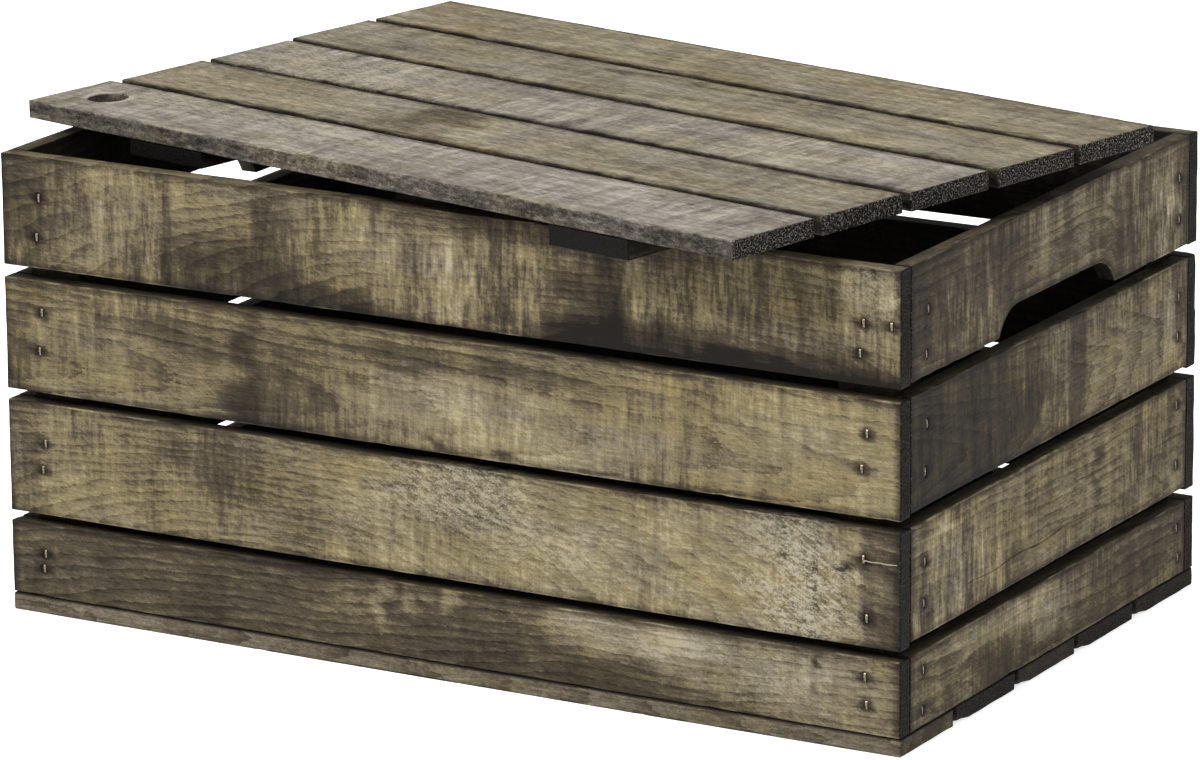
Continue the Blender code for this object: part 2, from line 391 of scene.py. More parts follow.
def dress(mesh, size, look, rng, staples=(), hold=False):
    """Writes the attributes that the wood material reads.

    grain_at: the place in the log. Then four values in one colour: lightness, which holds stain and painted
    shade, silvering, saw marks and end grain.
    tint: from grey to olive, and ring: distance from the middle of the growth rings.
    """
    half = size / 2
    x, y, true_z = points_of(mesh).T
    z = true_z
    if hold:
        rise = hold_rise(x)
        z = (z + half[2] - rise) / (1 - rise / size[2]) - half[2]

    light, silver, saw, tint = face_tones(look, rng, x, z, half)
    on_edge, _, on_end = side_masks(x, y, z, half)
    light = shade_sides(light, look, rng, x, y, z, half)
    silver = silver + look.get("edge_silver", 0) * on_edge * (z < 0)
    saw = saw * (1 - 0.7 * on_edge)
    for at_x, at_z in staples:
        away = np.hypot((x - at_x) * 0.6, z - at_z) / STAPLE_STAIN
        light -= 0.45 * smooth_step(1.4, 0.4, away) * (y < 0)
        saw = saw * smooth_step(0.5, 1.5, away)
    if "hole" in look:
        light = shade_hole(light, look["hole"], rng, x, y, z, half)

    arch_x, arch_z, stretch, depth = look.get("arch", (-600, 20, 0.05, 12))
    ring_x = (x + half[0] - arch_x * MM) * stretch
    ring_z = z + half[2] - arch_z * MM + 3 * MM * drift(rng, x, z, 70 * MM, 40 * MM)
    ring = np.sqrt(ring_x**2 + ring_z**2 + (y + depth * MM) ** 2)

    grain_at = np.stack([x, y, true_z], 1) + rng.uniform(-40, 40, 3)
    # Lightness holds real stain and painted shade: the hidden faces, the edges in the gaps and the hole's
    # wall.
    stain_and_shade = np.stack([light, silver, saw, on_end * look.get("end", 1)], 1)
    write_attribute(mesh, "grain_at", "FLOAT_VECTOR", "vector", grain_at)
    write_attribute(mesh, "stain_and_shade", "FLOAT_COLOR", "color", stain_and_shade)
    write_attribute(mesh, "tint", "FLOAT", "value", tint)
    write_attribute(mesh, "ring", "FLOAT", "value", ring)


def write_attribute(mesh, name, kind, field, values):
    attribute = mesh.attributes.new(name, kind, "POINT")
    attribute.data.foreach_set(field, np.ascontiguousarray(values, np.float32).ravel())


# ---------------------------------------------------------------- materials


def linear(colour, shade=1.0):
    """A linear colour with alpha from one given as 0 to 255 as seen on a screen, times shade."""
    parts = [part / 255 for part in colour]
    return (*[shade * (p / 12.92 if p <= 0.04045 else ((p + 0.055) / 1.055) ** 2.4) for p in parts], 1.0)


class Graph:
    """A material's nodes, added and linked with short calls."""

    def __init__(self, name):
        self.material = bpy.data.materials.new(name)
        self.material.use_nodes = True
        self.tree = self.material.node_tree
        self.shader = self.tree.nodes["Principled BSDF"]

    def add(self, kind, settings=None, **inputs):
        """Adds a node. Inputs are named by their socket, or i0, i1 and so on by its number."""
        node = self.tree.nodes.new("ShaderNode" + kind)
        for key, value in (settings or {}).items():
            setattr(node, key, value)
        for key, value in inputs.items():
            self.put(node.inputs[int(key[1:]) if key[0] == "i" and key[1:].isdigit() else key], value)
        return node

    def put(self, socket, value):
        if isinstance(value, bpy.types.NodeSocket):
            self.tree.links.new(value, socket)
        else:
            socket.default_value = value

    def attribute(self, name, output):
        return self.add("Attribute", {"attribute_name": name}).outputs[output]

    def math(self, operation, a, b=0.0):
        return self.add("Math", {"operation": operation}, i0=a, i1=b).outputs[0]

    def sum(self, *values):
        total = values[0]
        for value in values[1:]:
            total = self.math("ADD", total, value)
        return total

    def product(self, *values):
        total = values[0]
        for value in values[1:]:
            total = self.math("MULTIPLY", total, value)
        return total

    def weighted(self, values, weights):
        """The sum of the named values, each times its weight."""
        return self.sum(*[self.product(values[name], weight) for name, weight in weights.items()])

    def noise(self, place, scale, detail=2.0, roughness=0.5):
        """Noise over place times scale, from about -0.5 to 0.5."""
        moved = self.add("VectorMath", {"operation": "MULTIPLY"}, i0=place, i1=scale).outputs[0]
        node = self.add("TexNoise", None, Vector=moved, Scale=1.0, Detail=detail, Roughness=roughness)
        return self.math("SUBTRACT", node.outputs["Fac"], 0.5)

    def span(self, value, low, high, to_low=0.0, to_high=1.0):
        """A smooth step from to_low to to_high while value goes from low to high."""
        node = self.add("MapRange", {"interpolation_type": "SMOOTHSTEP"})
        for socket, given in zip(node.inputs, (value, low, high, to_low, to_high)):
            self.put(socket, given)
        return node.outputs[0]

    def mix(self, share, a, b, blend="MIX"):
        node = self.add("Mix", {"data_type": "RGBA", "blend_type": blend})
        for socket, given in zip((node.inputs[0], node.inputs[6], node.inputs[7]), (share, a, b)):
            self.put(socket, given)
        return node.outputs[2]

    def ramp(self, value, stops, shade):
        """Colours along value, from (position, colour) stops."""
        node = self.add("ValToRGB", None, Fac=value)
        elements = node.color_ramp.elements
        while len(elements) < len(stops):
            elements.new(0.5)
        for element, (position, colour) in zip(elements, stops):
            element.position = position
            element.color = linear(colour, shade)
        return node.outputs[0]

    def surface(self, colour, roughness, height, strength, distance):
        """Finishes the material with a colour, a roughness and a bump."""
        bump = self.add("Bump", None, Strength=strength, Distance=distance, Height=height)
        self.put(self.shader.inputs["Base Color"], colour)
        self.put(self.shader.inputs["Roughness"], roughness)
        self.put(self.shader.inputs["Normal"], bump.outputs[0])
        return self.material


# Wood colours by lightness, from 0 to 1, as seen on a screen before a material's shade. The most
# olive wood is multiplied by GOLDEN, and end grain has dark pores in a colour of its own.
WALL_OLIVE = (
    (0.00, (25, 21, 15)), (0.25, (57, 50, 37)), (0.45, (87, 77, 58)),
    (0.62, (124, 112, 83)), (0.80, (150, 137, 103)), (1.00, (184, 171, 135)),
)
WALL_GREY = (
    (0.00, (25, 21, 16)), (0.25, (57, 50, 39)), (0.45, (87, 77, 63)),
    (0.62, (116, 107, 90)), (0.80, (146, 137, 118)), (1.00, (182, 174, 155)),
)
LID_OLIVE = (
    (0.00, (36, 30, 23)), (0.25, (80, 71, 55)), (0.50, (120, 110, 89)),
    (0.75, (152, 142, 119)), (1.00, (186, 176, 150)),
)
LID_GREY = (
    (0.00, (36, 32, 30)), (0.25, (80, 74, 67)), (0.50, (120, 113, 103)),
    (0.75, (151, 144, 133)), (1.00, (184, 177, 167)),
)
SILVER = (190, 184, 164)
PORE = (6, 5, 4)
GOLDEN = (1.07, 0.97, 0.78, 1.0)
END_GRAIN = (92, 80, 65)
# The lid's end grain is pale and speckled, and made paler still as painted light on its weakly lit right
# ends.
LID_END_GRAIN = (178, 170, 157)
# Painted shade: the cleats' end grain is darkened, as they lie under the lid.
CLEAT_END_GRAIN = (62, 51, 40)


def wood_noises(g, place):
    """The wood's unevenness of several sizes, by name. Place is along, into and across a board."""
    turn = math.radians(-31)
    slanted = g.add("VectorRotate", {"rotation_type": "Y_AXIS"}, Vector=place, Angle=turn).outputs[0]
    return {
        "patch": g.noise(place, (26, 70, 70), 4, 0.65),
        "blotch": g.noise(place, (24, 190, 190), 3, 0.65),
        "clump": g.noise(place, (200, 420, 420), 3, 0.6),
        "fibre": g.noise(place, (55, 620, 600), 4, 0.6),
        "thread": g.noise(place, (170, 2000, 2000), 3, 0.6),
        "speck": g.noise(place, (900, 1300, 1300), 3, 0.65),
        "pores": g.noise(place, (300, 950, 950), 3, 0.85),
        "bands": g.noise(place, (105, 12, 12), 3, 0.6),
        "streaks": g.noise(place, (330, 60, 60), 3, 0.6),
        "strokes": g.noise(slanted, (90, 420, 650), 3, 0.6),
        "wander": g.noise(place, (13, 60, 60), 2, 0.5),
    }


def growth_lines(g, noises, ring, ring_gap, light, saw):
    """Late wood's lines, fainter where the board is pale or its saw marks are strong."""
    turns = g.sum(g.math("DIVIDE", ring, ring_gap), g.weighted(noises, {"wander": 1.8, "clump": 0.35}))
    late = g.math("POWER", g.math("FRACT", turns), 2.2)
    clear = g.product(g.span(light, 0.2, 0.9, 1.0, 0.5), g.span(saw, 0.35, 0.9, 1.0, 0.45))
    return g.product(g.math("SUBTRACT", late, 0.25), clear)


def wood_material(
    name, shade, olive=WALL_OLIVE, grey=WALL_GREY, end=END_GRAIN,
    contrast=1.0, ring_gap=4.8 * MM, ring_depth=0.24, mottle=0.0,
):
    """Stained wood, coloured by the attributes that dress writes, whose lightness holds painted shade as well
    as stain. Shade dims all its colours.
    """
    g = Graph(name)
    noises = wood_noises(g, g.attribute("grain_at", "Vector"))
    light, silvering, saw = g.add("SeparateColor", None, Color=g.attribute("stain_and_shade", "Color")).outputs
    on_end = g.attribute("stain_and_shade", "Alpha")
    lines = growth_lines(g, noises, g.attribute("ring", "Fac"), ring_gap, light, saw)

    blotches = {
        "patch": 0.30, "clump": 0.36 + 0.7 * mottle, "blotch": 1.7 * mottle, "speck": 0.44, "strokes": 0.30,
    }
    along = g.product(g.weighted(noises, {"fibre": 0.42, "thread": 0.25}), g.span(saw, 0.15, 0.85, 1.4, 0.5))
    across = g.product(g.weighted(noises, {"bands": 0.90, "streaks": 0.95}), saw)
    uneven = g.sum(g.weighted(noises, blotches), along, across, g.product(lines, -ring_depth))
    strength = g.span(light, 0.2, 0.62, 0.78 * contrast, contrast)
    tone = g.sum(light, g.product(uneven, strength))

    hue = g.sum(g.attribute("tint", "Fac"), g.weighted(noises, {"patch": 1.6, "bands": 0.8, "clump": 0.5}))
    colour = g.mix(g.span(hue, 0.0, 1.0), g.ramp(tone, grey, shade), g.ramp(tone, olive, shade))
    colour = g.mix(g.span(hue, 0.95, 1.5, 0.0, 0.9), colour, GOLDEN, "MULTIPLY")

    crumbs = g.weighted(noises, {"speck": 1.0, "clump": 0.9, "strokes": 0.7})
    bright = g.product(silvering, g.span(crumbs, -0.16, 0.26), g.span(tone, 0.05, 0.5, 0.35, 1.0))
    colour = g.mix(bright, colour, linear(SILVER, shade))

    pores = g.span(noises["pores"], 0.0, 0.2)
    colour = g.mix(on_end, colour, g.mix(pores, linear(PORE, shade), linear(end, shade)))

    height = g.sum(
        g.weighted(noises, {"fibre": 0.5, "clump": 0.4, "thread": 0.3}),
        g.product(noises["streaks"], saw, 0.5),
        g.product(lines, -0.25),
        g.product(crumbs, silvering, 0.9),
        g.product(pores, on_end, 0.6),
    )
    g.shader.inputs["Specular IOR Level"].default_value = 0.1
    return g.surface(colour, g.span(tone, 0.0, 0.8, 0.66, 0.9), height, 0.8, 0.5 * MM)


def steel_material():
    """Wire that has partly tarnished."""
    g = Graph("staple_wire")
    place = g.add("TexCoord").outputs["Object"]
    tarnish = g.span(g.noise(place, (900, 900, 900), 3, 0.6), -0.1, 0.2)
    colour = g.mix(tarnish, linear((122, 112, 90)), linear((58, 49, 37)))
    scratches = g.noise(place, (300, 5000, 5000), 2, 0.5)
    g.shader.inputs["Metallic"].default_value = 0.6
    return g.surface(colour, g.span(tarnish, 0, 1, 0.35, 0.7), scratches, 0.3, 0.1 * MM)


# Each shade scales a wood's colours. The end boards' higher one is painted light for the weakly lit right
# end; the posts' and cleats' low ones are painted shade.
MATERIALS = {
    "slat_wood": wood_material("stained_slat", 0.51),
    "end_wood": wood_material("stained_end_board_painted_light", 0.61),
    "bottom_wood": wood_material("stained_bottom_board", 0.50),
    "post_wood": wood_material("stained_post_painted_shade", 0.35),
    "lid_wood": wood_material(
        "stained_lid_board", 0.56, LID_OLIVE, LID_GREY, LID_END_GRAIN,
        contrast=0.9, ring_gap=3.6 * MM, ring_depth=0.12, mottle=0.55,
    ),
    "cleat_wood": wood_material("stained_cleat_painted_shade", 0.25, end=CLEAT_END_GRAIN),
    "staple_steel": steel_material(),
}


# ---------------------------------------------------------------- pieces


def add_piece(name, mesh, body, slot, matrix):
    piece = bpy.data.objects.new(name, mesh)
    bpy.context.scene.collection.objects.link(piece)
    piece.matrix_world = matrix
    mesh.materials.clear()
    mesh.materials.append(MATERIALS[slot])
    mesh.shade_smooth()
    mesh.set_sharp_from_angle(angle=math.radians(50))
    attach(piece, body)
    return piece


def add_board(node, body, slot, outward, along, look, staples=(), radius=0.6 * MM, hold=False, extra=None):
    """Replaces a CAD board by a detailed one. Staples are (x, z) about the middle of its seen face.

    Extra adds more shapes to cut out of it.
    """
    rng = np.random.default_rng(look["seed"])
    matrix, size = board_frame(node, outward, along)
    mesh = plank_mesh(node + "_wood", size, rng, 4 * MM, radius, look.get("wane", 0), hold)
    piece = add_piece(node + "_wood", mesh, body, slot, Matrix.Identity(4))
    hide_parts(node)
    bm = bmesh.new()
    for x, z in staples:
        add_dish(bm, Vector((x, -size[1] / 2, z)), Vector((1.7 * MM, 0.9 * MM, CROWN / 2 + 1 * MM)))
    if extra:
        extra(bm, size)
    if bm.verts:
        cut_by(piece, bm, extra is not None)
    bm.free()
    dress(piece.data, size, look, rng, staples, hold)
    piece.data.transform(matrix)
    return matrix, size


def staple_mesh():
    """A U of flattened wire: the crown along Z with its outer face at Y 0, and the legs along +Y."""
    centre = CROWN / 2 - WIRE_THICK - BEND
    loops = []
    for outset in (WIRE_THICK, 0.0):
        bend = BEND + outset
        ring = [
            (centre + bend * math.cos(math.radians(a)), WIRE_THICK + BEND - bend * math.sin(math.radians(a)))
            for a in (0, 30, 60, 90)
        ]
        side = [(ring[0][0], LEG_LENGTH), *ring]
        mirrored = [(-z, y) for z, y in reversed(side)]
        loops.append(side + mirrored)
    outline = loops[0] + loops[1][::-1]
    bm = bmesh.new()
    extrude(bm, [(-WIRE_WIDTH / 2, y, z) for z, y in outline], (WIRE_WIDTH, 0, 0))
    mesh = bpy.data.meshes.new("staple")
    bm.to_mesh(mesh)
    bm.free()
    return mesh


STAPLE = staple_mesh()


def add_staple(name, body, matrix, size, x, z, node=None):
    """A staple in a board's seen face; x and z are about the face's middle."""
    place = matrix @ Matrix.Translation((x, -size[1] / 2 + SINK, z))
    piece = add_piece(name, STAPLE, body, "staple_steel", place)
    if node:
        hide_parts(node)


# ---------------------------------------------------------------- looks of the boards

# A look's places and lengths are in millimetres, from the lower left corner as seen from outside.
# light, saw, tint: lightness, strength of the saw marks, and the colour from grey to olive
# stains, silver: soft-edged marks, each (x, z, half length, half height, amount)
# zones: crisp bands across the board, each (x, half length, amount)
# arch: the growth rings' middle (x, z), their scale along the board, and how far in front they lie
# edge, top_edge: lightness of the lower edge, and of the upper one from its hidden to its seen side; their
# dark values are stain and painted shade in the gaps between boards
# border, foot, end_border: dark stain along the seen face's upper, lower and end borders
# arris, edge_silver, end: lightness of the arrises, silver on the lower edge, and end grain's share
# wane, hole: the upper edge's extra rounding, and the finger hole's place from the middle, in metres

# The lid boards' edges are nearly black: stain and painted shade in the gaps between the boards.
LID_EDGES = {"edge": 0.02, "top_edge": (0.02, 0.06), "border": 0.28, "end_border": 0.05, "arris": -0.45}
# The right end's upper edges in the gaps: dark at their hidden side as painted shade of the board above.
END_TOP_EDGE = (0.1, 0.42)
LOOKS = {
    "front_slat_1": {
        "light": 0.55, "saw": 0.82, "arch": (405, -12, 0.20, 6), "top_edge": (0.5, 0.66),
        "stains": (
            (20, 30, 22, 60, -0.12), (75, 35, 30, 50, 0.04), (150, 10, 55, 20, -0.28),
            (165, 40, 34, 22, -0.12), (215, 4, 40, 8, -0.25), (265, 40, 60, 30, 0.06),
            (374, 22, 22, 30, -0.29), (400, 4, 70, 14, -0.38), (410, 38, 26, 14, 0.06),
            (490, 2, 70, 10, -0.30), (530, 48, 24, 12, 0.14), (480, 30, 34, 22, -0.08),
            (500, 3, 70, 13, -0.22), (345, 56, 150, 8, -0.16),
        ),
        "silver": ((532, 50, 22, 12, 0.25),),
    },
    "front_slat_2": {
        "light": 0.62, "saw": 0.55, "arch": (-260, 20, 0.06, 6),
        "stains": (
            (12, 30, 14, 60, -0.16), (156, 30, 9, 60, -0.20), (186, 16, 42, 28, -0.20),
            (130, 45, 50, 14, -0.14), (285, 50, 95, 7, -0.22), (480, 30, 90, 30, 0.06),
            (300, 20, 90, 20, 0.08), (276, 7, 9, 2.5, -0.4), (312, 7, 8, 2.5, -0.35),
            (110, 30, 20, 30, -0.05),
        ),
    },
    "front_slat_3": {
        "light": 0.68, "saw": 0.50, "arch": (160, -6, 0.22, 5),
        "stains": (
            (12, 30, 14, 60, -0.18), (90, 50, 20, 30, -0.09), (140, 44, 42, 20, -0.24),
            (150, 12, 80, 16, -0.08), (235, 30, 40, 40, 0.06), (390, 30, 90, 40, 0.08), (516, 42, 7, 4, -0.4),
        ),
        "zones": ((541.5, 13.5, -0.27),),
        "silver": (
            (290, 48, 50, 16, 0.62), (340, 26, 40, 12, 0.45), (492, 30, 30, 40, 0.95), (235, 30, 26, 22, 0.2),
        ),
    },
    "front_slat_4": {
        "light": 0.40, "saw": 0.25, "arch": (560, -30, 0.10, 5), "tint": 0.45, "foot": 0.0,
        "stains": (
            (236, 30, 7, 22, 0.28), (258, 34, 8, 12, 0.30), (278, 34, 7, 10, 0.28), (215, 24, 20, 16, 0.06),
            (388, 34, 55, 15, 0.38), (450, 24, 58, 24, 0.26), (520, 22, 44, 30, 0.24), (500, 37, 3, 2, -0.6),
            (385, 6, 60, 8, -0.06),
        ),
        "silver": ((465, 20, 36, 14, 0.18),),
    },
    "right_end_board_1": {
        "light": 0.44, "saw": 1.0, "arch": (-900, 20, 0.02, 6), "edge": 0.0, "top_edge": (0.25, 0.4),
        "tint": 0.25,
        "stains": (
            (16, 30, 30, 60, -0.14), (300, 30, 14, 60, 0.22), (150, 30, 14, 60, 0.08), (60, 12, 60, 10, 0.06),
            (190, 30, 60, 30, 0.04),
        ),
    },
    "right_end_board_2": {
        "light": 0.58, "saw": 0.7, "arch": (-60, 20, 0.16, 6), "top_edge": END_TOP_EDGE, "tint": 0.5,
        "stains": (
            (12, 30, 18, 60, -0.10), (60, 30, 96, 60, -0.40), (165, 50, 7, 20, 0.08), (290, 30, 40, 40, 0.06),
        ),
        "zones": ((192, 9, -0.2),),
    },
    "right_end_board_3": {
        "light": 0.61, "saw": 1.05, "arch": (-900, 10, 0.02, 6), "top_edge": END_TOP_EDGE, "tint": 0.6,
        "stains": (
            (10, 30, 14, 60, -0.12), (35, 50, 30, 3, 0.25), (215, 40, 6, 22, -0.20),
            (150, 16, 120, 0.8, -0.12), (320, 30, 10, 60, -0.10),
        ),
    },
    "right_end_board_4": {
        "light": 0.47, "saw": 0.5, "arch": (-900, 10, 0.02, 6), "top_edge": END_TOP_EDGE, "tint": 0.45,
        "foot": 0.0,
        "stains": (
            (110, 32, 80, 9, 0.22), (160, 20, 34, 10, 0.16), (95, 8, 26, 10, -0.14), (270, 26, 60, 12, -0.12),
        ),
    },
    "lid_board_1": {
        **LID_EDGES, "edge": 0.19, "edge_silver": 0.22, "foot": 0.0, "arris": -0.3,
        "light": 0.72, "saw": 0.70, "arch": (-500, 30, 0.05, 8), "tint": 0.2,
        "stains": ((95, 32, 20, 2, -0.25), (30, 26, 24, 22, -0.05), (330, 10, 120, 8, -0.04)),
        "silver": ((150, 44, 150, 16, 0.35),),
    },
    "lid_board_2": {
        **LID_EDGES, "light": 0.64, "saw": 0.45, "arch": (215, 50, 0.30, 6), "tint": 0.8,
        "stains": (
            (212, 44, 26, 16, -0.34), (200, 18, 16, 18, -0.16), (250, 22, 12, 14, 0.14),
            (405, 45, 22, 9, -0.16),
        ),
    },
    "lid_board_3": {
        **LID_EDGES, "light": 0.70, "saw": 0.90, "arch": (-400, 40, 0.05, 6), "tint": 0.35,
        "stains": ((50, 30, 60, 30, -0.06),),
        "silver": ((70, 30, 110, 34, 0.45), (480, 40, 40, 16, 0.3)),
    },
    "lid_board_4": {
        **LID_EDGES, "light": 0.64, "saw": 0.45, "arch": (-200, 20, 0.09, 6), "tint": 0.8,
        "stains": ((215, 50, 26, 6, -0.26), (370, 16, 36, 14, 0.10), (300, 52, 160, 2, -0.16)),
    },
    "lid_board_5": {
        **LID_EDGES, "light": 0.65, "saw": 0.45, "arch": (-500, 20, 0.05, 6), "tint": 0.85,
        "stains": ((280, 10, 60, 5, -0.08), (430, 30, 60, 14, 0.04)),
    },
}


# Upper edge of the back and left walls, and the end grain's share at the ends of the bottom boards
FAR_RIM = (0.4, 0.5)
BOTTOM_ENDS = (0.1, 0.95, 0.45, 0.95, 0.85)


def plain_look(seed, light, saw=0.5, edge=0.1, **more):
    """A look for a board that isn't described above: a few random stains of its own."""
    rng = np.random.default_rng(seed + 1000)
    ranges = ((0, 550), (0, 60), (12, 70), (10, 50), (-0.3, 0.18))
    stains = tuple(tuple(rng.uniform(low, high) for low, high in ranges) for _ in range(7))
    arch = (rng.uniform(-200, 500), rng.uniform(-20, 20), rng.uniform(0.05, 0.2), 6)
    return {"light": light, "saw": saw, "edge": edge, "arch": arch, "stains": stains, "seed": seed, **more}


def look_of(node, seed, light=0.5):
    """The look described above, or a plain one of the given lightness."""
    return {**LOOKS[node], "seed": seed} if node in LOOKS else plain_look(seed, light)


# ---------------------------------------------------------------- staples, cracks and the finger hole

# Staples of each row from the top: (inset from the corner, drop below the board's top edge), in mm
FRONT_LEFT = (((24, 23), (22, 45)), ((24, 18), (22, 40)), ((24, 23), (22, 38)), ((22, 17), (21, 25.5)))
FRONT_RIGHT = (
    ((22, 30), (6, 30), (24, 46)), ((20, 19), (23, 38)), ((22, 17), (20, 48.5)), ((21, 11), (20, 26)),
)
END_NEAR = (((30, 26.5), (28, 50)), ((29, 18), (27, 43)), ((27, 22), (26, 44)), ((26, 11), (25, 32.5)))
END_FAR = (((23, 22), (23, 45)), ((22, 20), (23, 42)), ((23, 12), (23, 46)), ((21, 14), (19, 31)))


def spots(size, table, side, length):
    """Staple places about a wall board's middle. Side is -1 or 1, and length the wall's outer length."""
    return [(side * (length / 2 - inset * MM), size[2] / 2 - drop * MM) for inset, drop in table]


def torn_end(bm, size):
    """The gouge and the split at the right end of the third front slat."""
    end, face_y = size[0] / 2, -size[1] / 2
    add_dish(bm, Vector((end - 35 * MM, face_y, 10 * MM)), Vector((6, 1.3, 2.2)) * MM, 0.2)
    path = [(end - (23 - 2.3 * n) * MM, (14.3 + 0.3 * math.sin(1.7 * n)) * MM) for n in range(11)]
    add_crack(bm, path, face_y, 1.5 * MM, 1.2 * MM)


def add_splinter(matrix, size):
    """The pale splinter that lies in the split."""
    name = "front_slat_3_splinter"
    rng = np.random.default_rng(5)
    splinter = np.array((20, 0.7, 1.15)) * MM
    look = {"light": 1.3, "saw": 0, "tint": -0.4, "edge": 1.1, "border": 0, "end_border": 0, "end": 0}
    mesh = plank_mesh(name, splinter, rng, 1.5 * MM, 0.2 * MM)
    dress(mesh, splinter, look, rng)
    place = Vector((size[0] / 2 - 12 * MM, 0.42 * MM - size[1] / 2, 14.2 * MM))
    mesh.transform(matrix @ Matrix.Translation(place))
    add_piece(name, mesh, "box", "slat_wood", Matrix.Identity(4))


def long_crack(bm, size):
    """The hairline crack along the third right end board."""
    path = [(u * 8 * MM, (-15 + 0.8 * math.sin(0.9 * u) + 0.12 * u) * MM) for u in range(-13, 8)]
    add_crack(bm, path, -size[1] / 2, 0.7 * MM, 1.6 * MM)


def hole_x(size):
    """The finger hole's place along the front lid board, about its middle."""
    return HOLE_FROM_END - size[0] / 2


def finger_hole(bm, size):
    """A round hole with a slightly broken upper rim."""
    face_y = -size[1] / 2
    rings = (
        (-3 * face_y, 0.0), (face_y + 1.0 * MM, 0.0), (face_y, 1.2 * MM), (face_y - 1 * MM, 1.8 * MM),
    )
    layers = []
    for y, flare in rings:
        layer = []
        for angle in np.linspace(0, 2 * math.pi, HOLE_SIDES, endpoint=False):
            chip = 0.65 + 0.35 * math.sin(5 * angle) * math.sin(11 * angle + 1)
            reach = HOLE_RADIUS + flare * chip
            x, z = hole_x(size) + reach * math.cos(angle), reach * math.sin(angle)
            layer.append(bm.verts.new((x, y, z)))
        layers.append(layer)
    for layer, following in zip(layers, layers[1:]):
        for a, b in zip(range(-1, HOLE_SIDES - 1), range(HOLE_SIDES)):
            bm.faces.new((layer[a], layer[b], following[b], following[a]))
    bm.faces.new(layers[0])
    bm.faces.new(layers[-1])


CUTS = {"front_slat_3": torn_end, "right_end_board_3": long_crack, "lid_board_1": finger_hole}


# ---------------------------------------------------------------- walls, bottom, posts and lid


def build_walls():
    """Builds the four walls. Returns each wall staple's board and place in it, by name."""
    walls = (
        ("front_slat", 1000, (0, -1, 0), (1, 0, 0), "slat_wood", 0.55, FRONT_LEFT, FRONT_RIGHT, LENGTH),
        ("back_slat", 900, (0, 1, 0), (-1, 0, 0), "slat_wood", 0.52, FRONT_RIGHT, FRONT_LEFT, LENGTH),
        ("right_end_board", 1510, (1, 0, 0), (0, 1, 0), "end_wood", 0.50, END_NEAR, END_FAR, WIDTH),
        ("left_end_board", 1390, (-1, 0, 0), (0, -1, 0), "end_wood", 0.50, END_FAR, END_NEAR, WIDTH),
    )
    staples = {}
    for wall, seed, outward, along, slot, light, left, right, length in walls:
        for row, (at_left, at_right) in enumerate(zip(left, right), 1):
            node = f"{wall}_{row}"
            look = look_of(node, seed + 7 * row, light)
            if row == 1 and node not in LOOKS:
                look["top_edge"] = FAR_RIM
            _, size = board_frame(node, outward, along)
            places = spots(size, at_left, -1, length) + spots(size, at_right, 1, length)
            hold = row == 1 and slot == "end_wood"
            matrix, size = add_board(
                node, "box", slot, outward, along, look, places, hold=hold, extra=CUTS.get(node)
            )
            if node == "front_slat_3":
                add_splinter(matrix, size)
            for number, (x, z) in enumerate(places, 1):
                staples[f"{node}_staple_{number}"] = (matrix, size, x, z)
    return staples


def node_middle(node):
    low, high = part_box(node)
    return (low + high) / 2


def match_staples(staples):
    """Adds every wall staple; one that the CAD model has too replaces its node."""
    left = [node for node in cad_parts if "_staple_" in node]
    for name, (matrix, size, x, z) in staples.items():
        crown = matrix @ Vector((x, -size[1] / 2, z))
        away = {node: (node_middle(node) - crown).length for node in left}
        nearest = min(away, key=away.get, default=None)
        if nearest and away[nearest] < LEG_LENGTH / 2 + MATCH_SLACK:
            left.remove(nearest)
        else:
            nearest = None
        add_staple(name, "box", matrix, size, x, z, nearest)
    if left:
        raise ValueError(f"no staple stands for {left}")


def build_bottom():
    """Builds the bottom boards. The front one alone has a square front edge, which is pale."""
    down, along = (0, 0, -1), (1, 0, 0)
    for number, end in enumerate(BOTTOM_ENDS, 1):
        node = f"bottom_board_{number}"
        first = number == 1
        # Stain and painted shade: the bottom boards' edges, in the gaps and under the walls, are nearly
        # black; only the front board's front edge is pale.
        look = plain_look(40 + number, 0.34, 0.4, 0.06, tint=0.1, border=0.05, end=end)
        look["top_edge"] = (0.56, 0.58) if first else (0.05, 0.15)
        look["wane"] = 0 if first else 4 * MM
        look["stains"] += ((548, 30, 16, 60, 0.35 if first else 0.1),)
        _, size = board_frame(node, down, along)
        from_middle = LENGTH / 2 - 5.5 * MM
        ends = [(side * from_middle, share * size[2]) for side in (-1, 1) for share in (-0.27, 0.24)]
        matrix, size = add_board(node, "box", "bottom_wood", down, along, look, ends, 0.8 * MM)
        for index, (x, z) in enumerate(ends, 1):
            add_staple(f"{node}_staple_{index}", "box", matrix, size, x, z)


def build_lid():
    """Builds the tilted lid: five boards, and two cleats stapled to their undersides."""
    tilt = board_frame("lid_board_3", (0, 0, 1), (1, 0, 0))[0].to_3x3()
    top = -(tilt @ Vector((0, 1, 0)))
    across = tilt @ Vector((0, 0, 1))

    boards = []
    for number in range(1, 6):
        node = f"lid_board_{number}"
        look = look_of(node, 60 + number)
        if number == 1:
            _, size = board_frame(node, top, (1, 0, 0))
            look["hole"] = hole_x(size)
        matrix, _ = add_board(
            node, "lid", "lid_wood", top, (1, 0, 0), look, radius=0.75 * MM, extra=CUTS.get(node)
        )
        boards.append(matrix.translation)

    for side, seed in (("left", 84), ("right", 85)):
        node = f"lid_cleat_{side}"
        matrix, size = board_frame(node, -top, across)
        places = []
        for board in boards:
            middle = (matrix.inverted() @ board).x
            places += [(middle - 14 * MM, -12 * MM), (middle + 13 * MM, 11 * MM)]
        # Painted shade: the cleats under the lid are made dark, here and by the cleat wood's low shade.
        look = plain_look(seed, 0.2, 0.4, 0.08)
        add_board(node, "lid", "cleat_wood", -top, across, look, places)
        for index, (x, z) in enumerate(places, 1):
            add_staple(f"{node}_staple_{index}", "lid", matrix, size, x, z)


